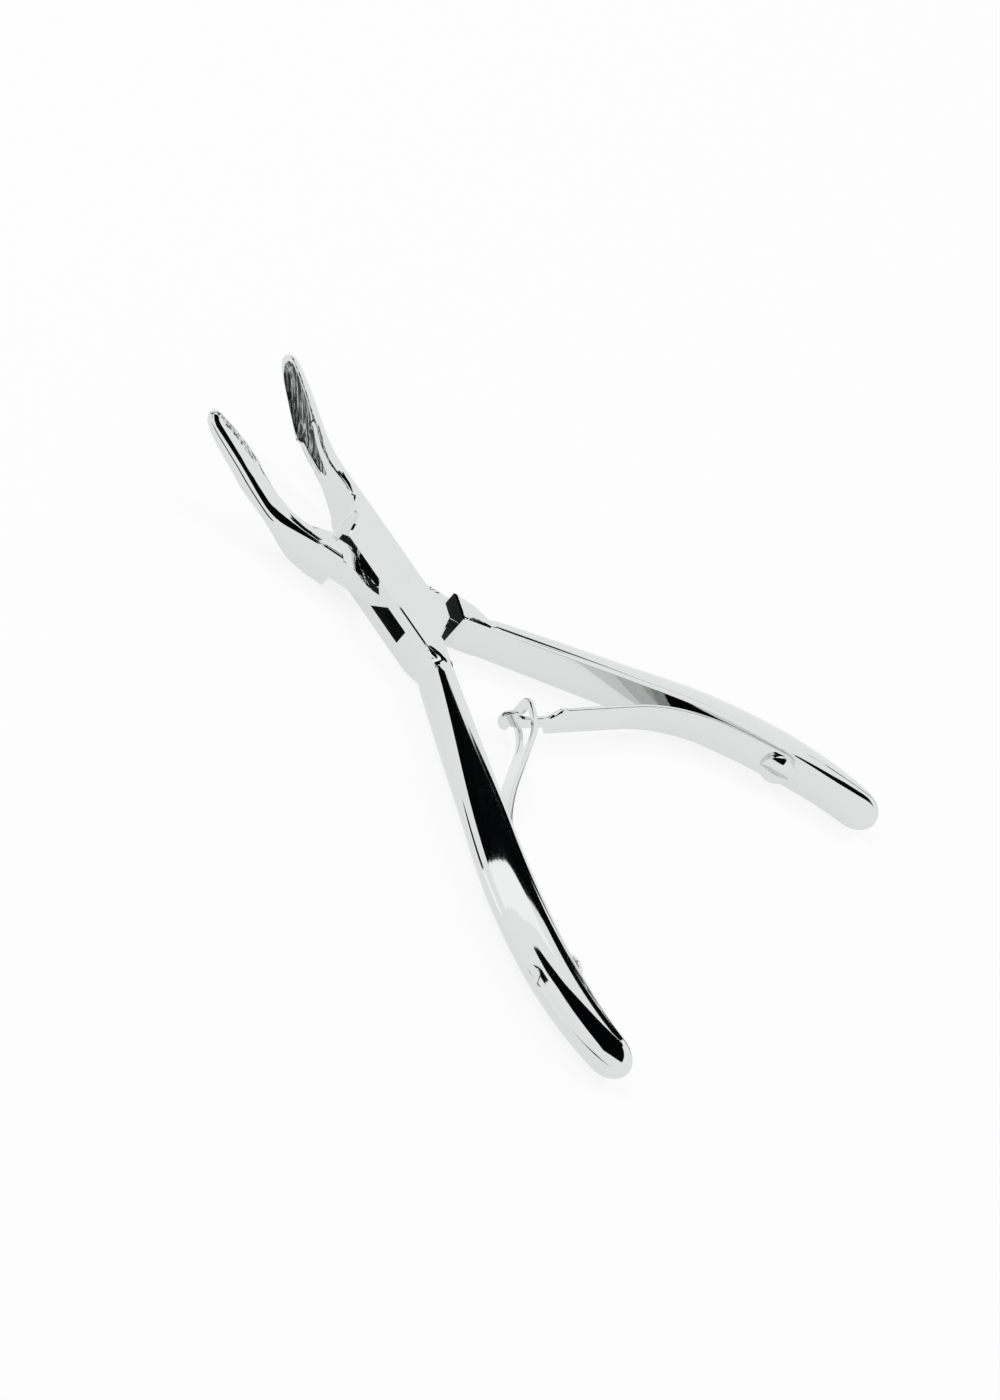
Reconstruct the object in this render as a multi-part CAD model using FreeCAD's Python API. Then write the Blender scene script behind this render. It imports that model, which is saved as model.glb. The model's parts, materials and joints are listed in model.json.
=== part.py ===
"""Bone rongeur with a box lock, upward curved jaws with spoon cups, bowed handles and two
interlocking leaf springs.

Both halves are drawn closed, with the pivot on the Z axis, the jaws towards -X and the handles
towards +X. The box half has its jaw at +Y and its handle at -Y, the tang half the reverse. At rest
the springs hold the halves open, so each half is turned half_opening away from closed.
Z = 0 is the flat underside of the box.
"""
import FreeCAD, Part
import math
import os

V = FreeCAD.Vector
UP = V(0, 0, 1)

# Driving dimensions, in millimetres and degrees
half_opening = 18.25
jaw_reach = 43.5
handle_reach = 99.1

# Box lock
box_width = 9.94
box_height = 7.36
box_end_x = 14.4
shoulder_side_x = 10.2
shoulder_slant = 3.1
slot_height = 2.86
slot_radius = 11.05
pin_radius = 1.75

# Running clearances
face_gap = 0.05
shoulder_gap = 0.10
tang_gap = 0.05
tang_end_gap = 0.10
pin_gap = 0.03
ramp_gap = 0.10
leaf_gap = 0.05
leaf_hole_gap = 0.10

# Jaws: underside, top, distance of the inner face from the closed plane, thickness and outer edge
# radius at each distance ahead of the pivot
jaw_stations = [
    (11.0, -3.66, 3.66, 0.00, 4.90, 0.35),
    (14.4, -3.62, 3.67, 0.55, 4.40, 0.50),
    (17.3, -3.30, 3.70, 1.80, 3.25, 0.75),
    (20.0, -2.30, 3.76, 2.00, 3.15, 1.00),
    (23.0, -0.80, 4.02, 1.55, 3.65, 1.30),
    (26.0, 0.30, 4.75, 0.85, 3.95, 1.70),
    (28.8, 1.00, 6.00, 0.20, 4.00, 1.95),
    (31.3, 1.75, 7.30, 0.00, 3.75, 2.05),
    (34.5, 3.45, 8.80, 0.00, 3.35, 2.00),
    (38.0, 5.40, 10.15, 0.00, 2.90, 1.75),
    (40.5, 6.85, 10.95, 0.00, 2.50, 1.50),
    (42.0, 7.90, 11.30, 0.00, 2.10, 1.25),
    (43.0, 8.75, 11.20, 0.00, 1.55, 0.90),
    (43.5, 9.60, 10.60, 0.00, 0.80, 0.30),
]
cup_rear = 33.3
cup_front = 40.7
cup_rear_radius = 1.95
cup_front_radius = 1.55
cup_depth = 1.5
groove_rear = 23.5
groove_front = 31.0
groove_rear_radius = 0.75
groove_front_radius = 1.25
groove_depth = 0.7

# Circular ramp between the tang and the jaw's shoulder
ramp_start = 5.0
ramp_end = 10.6
front_ramp_rise = 1.75
rear_ramp_rise = 0.60

# Handles
handle_root_y = 0.40
handle_flare = 20.0
handle_bend_x = 54.0
handle_bend_radius = 115.0
neck_half_height = 3.64
grip_half_height = 4.15
neck_thickness = 2.85
grip_thickness = 7.2
grip_x = 75.0
neck_edge_radius = 1.7
grip_edge_radius = 2.7
face_crown = 0.22
box_edge_radius = 0.35
root_length = 4.2

# Distance between a forging's cross-sections
handle_step = 6.5
jaw_step = 2.3

# Leaf springs and their screws
screw_x = 78.3
screw_radius = 1.6
screw_head_radius = 3.05
screw_head_height = 1.5
screw_head_dome = 0.75
screw_slot_width = 0.9
screw_slot_depth = 0.8
leaf_thickness = 0.9
leaf_width = 6.2
leaf_heel = 3.5
tongue_free_x = 68.0
tongue_slope = 45.7
tongue_bend_radius = 39.3
tongue_straight = 20.2
tongue_neck_length = 7.7
tongue_neck_width = 2.4
tongue_curl = 25.0
tongue_curl_length = 7.0
tongue_head_width = 4.6
tongue_head_length = 2.7
window_free_x = 53.1
window_first_slope = 45.0
window_first_radius = 13.0
window_slope = 55.0
window_bend_radius = 50.0
window_straight = 13.2
window_curl = 45.0
window_curl_radius = 12.2
window_leaf_width = 5.8
window_height = 3.5
window_start = 1.6
window_end = 2.0
window_corner_radius = 0.9
leaf_corner_radius = 1.6

half_width = box_width / 2
half_height = box_height / 2
far = 2 * handle_reach


def box_between(low, high):
    """A box from its lowest to its highest corner."""
    return Part.makeBox(high[0] - low[0], high[1] - low[1], high[2] - low[2], V(*low))


def prism(points, low_z, high_z):
    """A flat outline in plan, raised from low_z to high_z."""
    corners = [V(x, y, low_z) for x, y in points]
    face = Part.Face(Part.makePolygon(corners + corners[:1]))
    return face.extrude(V(0, 0, high_z - low_z))


def disc(radius, low_z, high_z):
    return Part.makeCylinder(radius, high_z - low_z, V(0, 0, low_z))


def mirrored(shape):
    """The same shape on the other side of the closed instrument."""
    return shape.mirror(V(0, 0, 0), V(0, 1, 0))


def smooth(v):
    v = min(max(v, 0.0), 1.0)
    return v * v * (3 - 2 * v)


def evenly(start, end, count):
    return [start + (end - start) * i / count for i in range(count + 1)]


def bezier(*points):
    curve = Part.BezierCurve()
    curve.setPoles(list(points))
    return curve.toShape()


def crowned(start, end, rise):
    """A shallow arch from start to end, rising by the vector rise in its middle."""
    third = (end - start) / 3
    return bezier(start, start + third + rise * 4 / 3, end - third + rise * 4 / 3, end)


def rounded(start, corner, end):
    """A quarter round from start to end, inside the corner."""
    pull = 4 * (math.sqrt(2) - 1) / 3
    return bezier(start, start + (corner - start) * pull, end + (corner - end) * pull, end)


def forged_section(origin, across, low_z, high_z, thickness, edge_radius):
    """A forging's cross-section: flat inner face with crisp edges, crowned top, outside and
    underside, and two rounded outer edges. across points from the inner face outwards."""
    r = min(edge_radius, 0.62 * thickness, 0.42 * (high_z - low_z))
    crown = face_crown * min(1.0, thickness / grip_thickness)

    def at(out, z):
        return origin + across * out + UP * z

    inner_low, inner_high = at(0, low_z), at(0, high_z)
    top_end, outer_high = at(thickness - r, high_z), at(thickness, high_z - r)
    outer_low, under_end = at(thickness, low_z + r), at(thickness - r, low_z)
    return Part.Wire([
        Part.makeLine(inner_low, inner_high),
        crowned(inner_high, top_end, UP * crown / 2),
        rounded(top_end, at(thickness, high_z), outer_high),
        crowned(outer_high, outer_low, across * crown),
        rounded(outer_low, at(thickness, low_z), under_end),
        crowned(under_end, inner_low, UP * -crown / 2),
    ])


def handle_face(x):
    """Where the handle's flat inner face is at x, and how steeply it leaves the X axis."""
    flare = math.radians(handle_flare)
    bend_y = handle_root_y + (handle_bend_x - box_end_x) * math.tan(flare)
    if x <= handle_bend_x:
        return bend_y + (x - handle_bend_x) * math.tan(flare), flare
    slope = math.asin(math.sin(flare) - (x - handle_bend_x) / handle_bend_radius)
    return bend_y + handle_bend_radius * (math.cos(slope) - math.cos(flare)), slope


def handle_thickness(x):
    if x < grip_x:
        v = max((x - box_end_x) / (grip_x - box_end_x), 0.0)
        return neck_thickness + (grip_thickness - neck_thickness) * math.sin(v * math.pi / 2) ** 1.3
    v = (x - grip_x) / (handle_reach - grip_x)
    return grip_thickness * math.sqrt(1 - v * v)


def handle_half_height(x):
    v = (x - box_end_x) / (grip_x - box_end_x)
    height = neck_half_height + (grip_half_height - neck_half_height) * smooth(1.3 * v)
    into_end = x - (handle_reach - grip_half_height)
    if into_end > 0:
        height *= math.sqrt(1 - (into_end / grip_half_height) ** 2)
    return height


def handle_blank():
    """The handle of a half whose handle is at +Y, with no hole in it."""
    root_end = box_end_x + root_length
    root = [box_end_x - 1.0] + evenly(box_end_x + 0.2, root_end, 3)
    shank = evenly(root_end, grip_x, round((grip_x - root_end) / handle_step))
    rounding_off = [math.sin(math.radians(a)) for a in evenly(0, 83, 8)]
    tip = [grip_x + (handle_reach - grip_x) * v for v in rounding_off]
    wires = []
    for x in root + shank[1:] + tip[1:]:
        y, slope = handle_face(x)
        across = V(-math.sin(slope), math.cos(slope), 0)
        h = handle_half_height(x)
        rounding = smooth((x - box_end_x) / (0.4 * (grip_x - box_end_x)))
        edge = neck_edge_radius + (grip_edge_radius - neck_edge_radius) * rounding
        thickness = handle_thickness(x)
        if x < root_end:
            blend = smooth((x - root[2]) / (root_end - root[2]))
            edge = box_edge_radius + (edge - box_edge_radius) * blend
            thickness = min((half_width - 0.02 - y) / math.cos(slope), 1.55 * neck_thickness)
        wires.append(forged_section(V(x, y, 0), across, -h, h, thickness, edge))
    return Part.makeLoft(wires, True, True)


def jaw_blank():
    """The jaw of a half whose jaw is at +Y, before its cup is hollowed."""
    out = V(0, 1, 0)
    wires = []
    for (start, *_), (end, *_) in zip(jaw_stations, jaw_stations[1:]):
        steps = evenly(start, end, math.ceil((end - start) / jaw_step))
        for ahead in steps if end == jaw_stations[-1][0] else steps[:-1]:
            low, high, bow, thickness, edge = jaw_station(ahead)
            wires.append(forged_section(
                V(-ahead, face_gap + bow, 0), out, low, high, thickness, edge))
    return Part.makeLoft(wires, True, True)


def jaw_station(ahead):
    """The jaw's sizes at any distance ahead, on smooth curves through the listed stations."""
    rows = jaw_stations
    last = len(rows) - 1
    i = max(n for n in range(last) if rows[n][0] <= ahead)
    (a, *low_row), (b, *high_row) = rows[i], rows[i + 1]
    v = (ahead - a) / (b - a)
    found = []
    for column, (p, q) in enumerate(zip(low_row, high_row), 1):
        before, after = rows[max(i - 1, 0)], rows[min(i + 2, last)]
        leave = (q - before[column]) / (b - before[0]) * (b - a)
        arrive = (after[column] - p) / (after[0] - a) * (b - a)
        found.append(p * (1 + 2 * v) * (1 - v) ** 2 + q * v * v * (3 - 2 * v)
                     + leave * v * (1 - v) ** 2 - arrive * v * v * (1 - v))
    return found


def jaw_middle(ahead):
    low, high = jaw_station(ahead)[:2]
    return (low + high) / 2


def hollow(rear, rear_radius, front, front_radius, depth):
    """A spoon shaped hollow ground into the jaw's inner face, along its rising middle line."""
    ends = [(V(-ahead, face_gap - radius + depth, jaw_middle(ahead)), radius)
            for ahead, radius in ((rear, rear_radius), (front, front_radius))]
    axis = ends[1][0] - ends[0][0]
    trough = Part.makeCone(rear_radius, front_radius, axis.Length, ends[0][0], axis)
    return trough.fuse([Part.makeSphere(radius, centre) for centre, radius in ends])


def jaw():
    cup = hollow(cup_rear, cup_rear_radius, cup_front, cup_front_radius, cup_depth)
    groove = hollow(groove_rear, groove_rear_radius, groove_front, groove_front_radius, groove_depth)
    return jaw_blank().cut(cup.fuse(groove))


def screw_frame():
    """The screw's place on the inner face of a handle at +Y, and the way it points out."""
    y, slope = handle_face(screw_x)
    return V(screw_x, y, 0), V(-math.sin(slope), math.cos(slope), 0), slope


def screw_hole(radius):
    place, out, slope = screw_frame()
    return Part.makeCylinder(radius, 4 * grip_thickness, place - out * 2 * grip_thickness, out)


def screw():
    """Slotted screw: domed head on the leaf, shank threaded through the handle and ground flush."""
    place, out, slope = screw_frame()
    in_handle = screw_hole(screw_radius).common(handle_blank())
    seat = place - out * (leaf_thickness + 2 * leaf_gap)
    through_leaf = Part.makeCylinder(screw_radius, leaf_thickness + 2 * leaf_gap, seat, out)
    wall = screw_head_height - screw_head_dome
    dome_radius = (screw_head_radius ** 2 + screw_head_dome ** 2) / (2 * screw_head_dome)
    crown_x = dome_radius * math.sin(math.asin(screw_head_radius / dome_radius) / 2)
    crown_z = screw_head_height - dome_radius + math.sqrt(dome_radius ** 2 - crown_x ** 2)
    outline = [
        Part.makeLine(V(0, 0, 0), V(screw_head_radius, 0, 0)),
        Part.makeLine(V(screw_head_radius, 0, 0), V(screw_head_radius, 0, wall)),
        Part.Arc(V(screw_head_radius, 0, wall), V(crown_x, 0, crown_z),
                 V(0, 0, screw_head_height)).toShape(),
        Part.makeLine(V(0, 0, screw_head_height), V(0, 0, 0)),
    ]
    head = Part.Face(Part.Wire(outline)).revolve(V(0, 0, 0), UP, 360)
    reach = 2 * screw_head_radius
    slot = box_between((-reach, -screw_slot_width / 2, screw_head_height - screw_slot_depth),
                       (reach, screw_slot_width / 2, 2 * screw_head_height))
    head = head.cut(slot)
    head.rotate(V(0, 0, 0), V(1, 0, 0), 90)
    head.rotate(V(0, 0, 0), UP, math.degrees(slope))
    head.translate(seat)
    return in_handle.fuse([through_leaf, head]).removeSplitter()


class LeafPath:
    """The middle line of a leaf in plan, walked from its heel towards its tip, with the leaf's
    two faces half a thickness to the left and right of it."""

    def __init__(self, start, heading):
        self.at = start
        self.heading = heading
        self.left = []
        self.right = []
        self.first = self.side_points()

    def side_points(self):
        side = V(-math.sin(self.heading), math.cos(self.heading), 0) * (leaf_thickness / 2)
        return self.at + side, self.at - side

    def go(self, length, turn=0.0):
        """Walk on by length, turning evenly by turn radians, left positive."""
        begin = self.side_points()
        middle = self.moved(length / 2, turn / 2)
        end = self.moved(length, turn)
        self.at, self.heading = middle
        halfway = self.side_points()
        self.at, self.heading = end
        finish = self.side_points()
        for faces, a, m, b in zip((self.left, self.right), begin, halfway, finish):
            faces.append(Part.Arc(a, m, b).toShape() if turn else Part.makeLine(a, b))

    def moved(self, length, turn):
        if not turn:
            step = V(math.cos(self.heading), math.sin(self.heading), 0) * length
            return self.at + step, self.heading
        chord = length * math.sin(turn / 2) / (turn / 2)
        mid_heading = self.heading + turn / 2
        step = V(math.cos(mid_heading), math.sin(mid_heading), 0) * chord
        return self.at + step, self.heading + turn

    def strip(self, height):
        """The whole leaf as a strip of even width."""
        heel = Part.makeLine(*self.first)
        toe = Part.makeLine(*self.side_points())
        face = Part.Face(Part.Wire(Part.__sortEdges__([heel, toe] + self.left + self.right)))
        solid = face.extrude(V(0, 0, height))
        solid.translate(V(0, 0, -height / 2))
        return solid

    def frame(self):
        """A placement with X along the path and Y through the leaf's thickness."""
        turn = FreeCAD.Rotation(UP, math.degrees(self.heading))
        return FreeCAD.Placement(self.at, turn)


def leaf_start(free_x):
    """A leaf's path up to where it leaves the handle: it lies along the inner face."""
    place, out, screw_slope = screw_frame()
    heel_x = screw_x + leaf_heel * math.cos(screw_slope)
    heel_y, heel_slope = handle_face(heel_x)
    free_slope = handle_face(free_x)[1]
    inset = leaf_gap + leaf_thickness / 2
    inward = V(math.sin(heel_slope), -math.cos(heel_slope), 0)
    path = LeafPath(V(heel_x, heel_y, 0) + inward * inset, math.pi + heel_slope)
    turn = free_slope - heel_slope
    path.go((handle_bend_radius - inset) * turn, turn)
    if free_x < handle_bend_x:
        path.go((handle_bend_x - free_x) / math.cos(free_slope))
    return path, free_slope


def side_outline(points, rounding):
    """A cutter with the given outline in (along, width), as thick as it needs to be."""
    corners = [V(a, -leaf_width, w) for a, w in points]
    face = Part.Face(Part.makePolygon(corners + corners[:1]))
    solid = face.extrude(V(0, 2 * leaf_width, 0))
    upright = [e for e in solid.Edges if e.Length > 1.9 * leaf_width
               and abs(e.tangentAt(e.FirstParameter).y) > 0.99]
    return solid.makeFillet(rounding, upright) if rounding else solid


def rounded_heel(leaf):
    """The leaf's heel is a full half round about its screw, with the screw's hole in it."""
    place, out, slope = screw_frame()
    heel = Part.makeCylinder(leaf_width / 2, 2 * leaf_width, place - out * leaf_width, out)
    ahead = box_between((-far, -far, -leaf_width), (0, far, leaf_width))
    ahead.rotate(V(0, 0, 0), UP, math.degrees(slope))
    ahead.translate(place)
    return leaf.common(heel.fuse(ahead)).cut(screw_hole(screw_radius + leaf_hole_gap))


def tongue_spring():
    """The leaf whose narrow neck passes through the other leaf's window and ends in a T head."""
    path, free_slope = leaf_start(tongue_free_x)
    bend = math.radians(tongue_slope) - free_slope
    path.go(tongue_bend_radius * bend, bend)
    path.go(tongue_straight)
    shoulder = path.frame()
    path.go(tongue_neck_length + tongue_head_length - tongue_curl_length)
    path.go(tongue_curl_length, -math.radians(tongue_curl))
    leaf = rounded_heel(path.strip(leaf_width))
    neck = tongue_neck_width / 2
    head = tongue_head_width / 2
    wide = leaf_width
    end = tongue_neck_length + tongue_head_length
    round_shoulder = 0.45 * (leaf_width - tongue_neck_width)
    beside = [
        side_outline([(0, neck), (tongue_neck_length, neck), (tongue_neck_length, wide), (0, wide)],
                     0.0),
        side_outline([(tongue_neck_length - 0.1, head), (end + 1, head), (end + 1, wide),
                      (tongue_neck_length - 0.1, wide)], 0.0),
        side_outline([(-round_shoulder, leaf_width / 2 - 0.4), (0.1, neck), (0.1, wide),
                      (-round_shoulder, wide)], 0.0),
    ]
    cutters = []
    for cutter in beside:
        other = cutter.mirror(V(0, 0, 0), UP)
        cutters += [cutter, other]
    for cutter in cutters:
        cutter.Placement = shoulder.multiply(cutter.Placement)
        leaf = leaf.cut(cutter)
    round_head = Part.makeCylinder(head, 2 * leaf_width, V(end - head, -leaf_width, 0), V(0, 1, 0))
    behind = box_between((-far, -far, -far), (end - head, far, far))
    keep = round_head.fuse(behind)
    keep.Placement = shoulder
    return leaf.common(keep)


def window_spring():
    """The leaf with a window in its curled, rounded head."""
    path, free_slope = leaf_start(window_free_x)
    bend = math.radians(window_first_slope) - free_slope
    path.go(window_first_radius * bend, bend)
    bend = math.radians(window_slope - window_first_slope)
    path.go(window_bend_radius * bend, bend)
    path.go(window_straight)
    curl_start = path.at
    curl = math.radians(window_curl)
    path.go(window_curl_radius * curl, -curl)
    tip = path.frame()
    leaf = rounded_heel(path.strip(window_leaf_width))
    chord = path.at - curl_start
    chord_turn = math.degrees(math.atan2(chord.y, chord.x))
    low, high = -window_start, chord.Length - window_end
    r = window_height / 2
    opening = side_outline([(low, r), (high, r), (high, -r), (low, -r)], window_corner_radius)
    opening.Placement = FreeCAD.Placement(curl_start, FreeCAD.Rotation(UP, chord_turn))
    leaf = leaf.cut(opening)
    r = leaf_corner_radius
    side = window_leaf_width / 2
    keep = side_outline([(-far, side), (0, side), (0, -side), (-far, -side)], r)
    keep.Placement = tip
    near_tip = box_between((-2 * r, -leaf_width, -leaf_width), (r, leaf_width, leaf_width))
    near_tip.Placement = tip
    return leaf.cut(near_tip.cut(keep))


def shoulder_outline(extra):
    """The slanted shoulder block of the tang half, at +Y behind the box."""
    side = shoulder_side_x + extra
    centre = shoulder_side_x + shoulder_slant + extra
    return [(side, half_width), (centre, face_gap), (box_end_x, face_gap), (box_end_x, half_width)]


def turned_about_pivot(points):
    return [(-x, -y) for x, y in points]


def ahead_of_shoulder(extra):
    """Everything from the box to the shoulder line at +Y, to trim what starts too early."""
    side = shoulder_side_x + extra
    centre = shoulder_side_x + shoulder_slant + extra
    run = (centre - side) / (half_width - face_gap)
    beyond = 2 * half_width
    return [(-box_end_x, -beyond), (centre + run * (beyond + face_gap), -beyond),
            (side - run * (beyond - half_width), beyond), (-box_end_x, beyond)]


def ramp(gap, ramp_rise):
    """A round ramp about the pivot, above the tang: level, then an S bend up to the shoulder."""
    low = slot_height / 2 - tang_gap
    inner = ramp_start - gap
    outer = ramp_end - gap
    foot = low + gap - tang_gap
    run = (outer - inner) / 2
    rise = ramp_rise / 2
    bend_radius = (run * run + rise * rise) / (2 * rise)
    half_turn = math.asin(run / bend_radius) / 2
    across = bend_radius * math.sin(half_turn)
    up = bend_radius * (1 - math.cos(half_turn))
    top = foot + ramp_rise
    outline = [
        Part.Arc(V(inner, 0, foot), V(inner + across, 0, foot + up),
                 V(inner + run, 0, foot + rise)).toShape(),
        Part.Arc(V(inner + run, 0, foot + rise), V(outer - across, 0, top - up),
                 V(outer, 0, top)).toShape(),
        Part.makeLine(V(outer, 0, top), V(box_end_x, 0, top)),
        Part.makeLine(V(box_end_x, 0, top), V(box_end_x, 0, low - 0.3)),
        Part.makeLine(V(box_end_x, 0, low - 0.3), V(inner, 0, low - 0.3)),
        Part.makeLine(V(inner, 0, low - 0.3), V(inner, 0, foot)),
    ]
    return Part.Face(Part.Wire(outline)).revolve(V(0, 0, 0), UP, 360)


def pin_bore(gap):
    return disc(pin_radius + gap, -far, far)


def box_half():
    """The half with the box: two plates joined ahead by its jaw's root and behind by its handle's
    root, with a slot between them for the tang."""
    centre = shoulder_side_x + shoulder_slant
    outline = [(-shoulder_side_x, -half_width), (-centre, face_gap), (-box_end_x, face_gap),
               (-box_end_x, half_width)]
    box = prism(outline + turned_about_pivot(outline), -half_height, half_height)
    half = slot_height / 2
    slot = disc(slot_radius, -half, half)
    slot = slot.fuse(box_between((-box_end_x - 1, -box_width, -half), (0, face_gap, half)))
    slot = slot.fuse(box_between((0, -face_gap, -half), (box_end_x + 1, box_width, half)))
    handle = mirrored(handle_blank().cut(screw_hole(screw_radius)))
    front = ramp(ramp_gap, front_ramp_rise).common(
        box_between((-box_end_x, -box_width, 0), (0, face_gap, box_height)))
    rear = ramp(ramp_gap, rear_ramp_rise).common(
        box_between((0, -face_gap, 0), (box_end_x, box_width, box_height)))
    solid = box.fuse([jaw(), handle]).cut(slot).cut(front).cut(rear)
    return solid.cut(pin_bore(0)).removeSplitter()


def tang_half():
    """The half whose thin tang passes through the box, between two full height shoulders."""
    rear = shoulder_outline(shoulder_gap)
    front = turned_about_pivot(rear)
    trim_rear = prism(ahead_of_shoulder(shoulder_gap), -far, far)
    trim_front = prism(turned_about_pivot(ahead_of_shoulder(shoulder_gap)), -far, far)
    handle = handle_blank().cut(screw_hole(screw_radius)).cut(trim_rear)
    front_jaw = mirrored(jaw()).cut(trim_front)
    blocks = [prism(rear, -half_height, half_height), prism(front, -half_height, half_height)]
    half = slot_height / 2 - tang_gap
    tang = disc(slot_radius - tang_end_gap, -half, half)
    tang = tang.common(box_between((-far, -half_width, -half), (far, half_width, half)))
    root = box_end_x - 0.3
    tang = tang.fuse(box_between((-root, -half_width, -half), (0, -face_gap, half)))
    tang = tang.fuse(box_between((0, face_gap, -half), (root, half_width, half)))
    front_ramp = ramp(0, front_ramp_rise).common(
        box_between((-root, -half_width, 0), (0, -face_gap, box_height)))
    rear_ramp = ramp(0, rear_ramp_rise).common(
        box_between((0, face_gap, 0), (root, half_width, box_height)))
    solid = tang.fuse(blocks + [front_ramp, rear_ramp, handle, front_jaw])
    return solid.cut(pin_bore(pin_gap)).removeSplitter()


def pivot_pin():
    """The riveted pin through plates and tang, ground flush with the box at both ends."""
    return disc(pin_radius, -half_height, half_height)


def placed(shape, turn):
    """Turn a closed piece to where it is at rest and lift it onto the underside's plane."""
    shape = shape.copy()
    shape.rotate(V(0, 0, 0), UP, turn)
    shape.translate(V(0, 0, half_height))
    return shape


def main():
    pieces = {
        "box_half": placed(box_half(), -half_opening),
        "tang_half": placed(tang_half(), half_opening),
        "pivot_pin": placed(pivot_pin(), -half_opening),
        "window_spring": placed(mirrored(window_spring()), -half_opening),
        "tongue_spring": placed(tongue_spring(), half_opening),
        "window_spring_screw": placed(mirrored(screw()), -half_opening),
        "tongue_spring_screw": placed(screw(), half_opening),
    }
    os.makedirs("parts", exist_ok=True)
    for name, shape in pieces.items():
        solids = shape.Solids
        print(name, "solids", len(solids), "valid", shape.isValid(), "volume",
              round(shape.Volume, 2))
        if len(solids) == 1:
            shape = solids[0]
        shape.exportStep(os.path.join("parts", name + ".step"))


main()
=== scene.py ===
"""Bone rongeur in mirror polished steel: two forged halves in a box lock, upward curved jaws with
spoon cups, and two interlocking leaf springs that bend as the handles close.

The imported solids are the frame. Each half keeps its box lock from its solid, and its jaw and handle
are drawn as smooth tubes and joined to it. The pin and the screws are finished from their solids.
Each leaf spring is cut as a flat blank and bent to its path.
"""

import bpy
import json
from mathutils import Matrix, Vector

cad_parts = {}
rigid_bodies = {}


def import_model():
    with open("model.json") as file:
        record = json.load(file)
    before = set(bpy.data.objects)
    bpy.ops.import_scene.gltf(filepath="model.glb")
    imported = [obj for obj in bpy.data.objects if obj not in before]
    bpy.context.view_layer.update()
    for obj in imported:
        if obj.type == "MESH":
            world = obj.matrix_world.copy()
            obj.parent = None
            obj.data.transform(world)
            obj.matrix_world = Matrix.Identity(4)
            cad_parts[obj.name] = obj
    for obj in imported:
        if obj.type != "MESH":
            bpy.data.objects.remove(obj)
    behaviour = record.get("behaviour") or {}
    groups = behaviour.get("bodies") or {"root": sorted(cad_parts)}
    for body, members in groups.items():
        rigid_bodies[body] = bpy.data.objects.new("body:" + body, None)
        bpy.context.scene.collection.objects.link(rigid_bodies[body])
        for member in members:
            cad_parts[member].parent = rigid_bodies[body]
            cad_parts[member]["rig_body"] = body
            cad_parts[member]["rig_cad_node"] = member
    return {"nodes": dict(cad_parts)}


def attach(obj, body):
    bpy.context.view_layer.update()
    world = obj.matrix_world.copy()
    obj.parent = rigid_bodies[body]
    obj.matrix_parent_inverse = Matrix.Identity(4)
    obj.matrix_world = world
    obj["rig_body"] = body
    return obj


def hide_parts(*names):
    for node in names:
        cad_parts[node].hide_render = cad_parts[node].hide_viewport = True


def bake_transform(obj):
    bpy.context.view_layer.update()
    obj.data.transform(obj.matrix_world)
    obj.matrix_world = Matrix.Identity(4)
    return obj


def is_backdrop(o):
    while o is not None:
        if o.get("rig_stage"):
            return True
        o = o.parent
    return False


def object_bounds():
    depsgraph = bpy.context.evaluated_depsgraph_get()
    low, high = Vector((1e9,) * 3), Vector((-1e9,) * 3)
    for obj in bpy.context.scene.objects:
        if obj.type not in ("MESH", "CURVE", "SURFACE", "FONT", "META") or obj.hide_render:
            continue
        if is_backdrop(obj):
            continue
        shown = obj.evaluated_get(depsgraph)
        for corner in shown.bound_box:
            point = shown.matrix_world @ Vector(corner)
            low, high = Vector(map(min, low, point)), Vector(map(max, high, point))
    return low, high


bl_info = {
    "name": "Bone rongeur",
    "version": (1, 0, 0),
    "blender": (4, 5, 0),
    "location": "View3D > Sidebar > Rongeur",
    "description": "Finishes the halves, leaf springs and screws of a bone rongeur and sets its stage",
    "category": "Object",
}

import json
import math

import bmesh
import bpy
from mathutils import Matrix, Vector

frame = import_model()

MM = 0.001

# Points closer than this are one point, and a point this close to a face lies in it
MERGE_DISTANCE = 0.002 * MM
TOUCH = 0.01 * MM

# Edges that turn less than this are shaded smooth
HALF_SHADE_ANGLE = math.radians(40)
PIECE_SHADE_ANGLE = math.radians(50)

# The drawing's frame: closed, pivot at the origin, handles towards +X, in millimetres
HALF_OPENING = math.radians(18.25)
HALF_HEIGHT = 3.68
BOX_END_X = 14.4

# Jaws: underside, top, distance of the inner face from the closed plane, thickness and outer edge
# radius at each distance ahead of the pivot
JAW_STATIONS = (
    (14.4, -3.62, 3.67, 0.55, 4.40, 0.50),
    (17.3, -3.30, 3.70, 1.80, 3.25, 0.75),
    (20.0, -2.30, 3.76, 2.00, 3.15, 1.00),
    (23.0, -0.80, 4.02, 1.55, 3.65, 1.30),
    (26.0, 0.30, 4.75, 0.85, 3.95, 1.70),
    (28.8, 1.00, 6.00, 0.20, 4.00, 1.95),
    (31.3, 1.75, 7.30, 0.00, 3.75, 2.05),
    (34.5, 3.45, 8.80, 0.00, 3.35, 2.00),
    (38.0, 5.40, 10.15, 0.00, 2.90, 1.75),
    (40.5, 6.85, 10.95, 0.00, 2.50, 1.50),
    (42.0, 7.90, 11.30, 0.00, 2.10, 1.25),
    (43.0, 8.75, 11.20, 0.00, 1.55, 0.90),
    (43.5, 9.60, 10.60, 0.00, 0.80, 0.30),
)
JAW_JOIN = 17.3
JAW_BRIDGE = 0.5
JAW_RINGS = 110
FACE_GAP = 0.05

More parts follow.
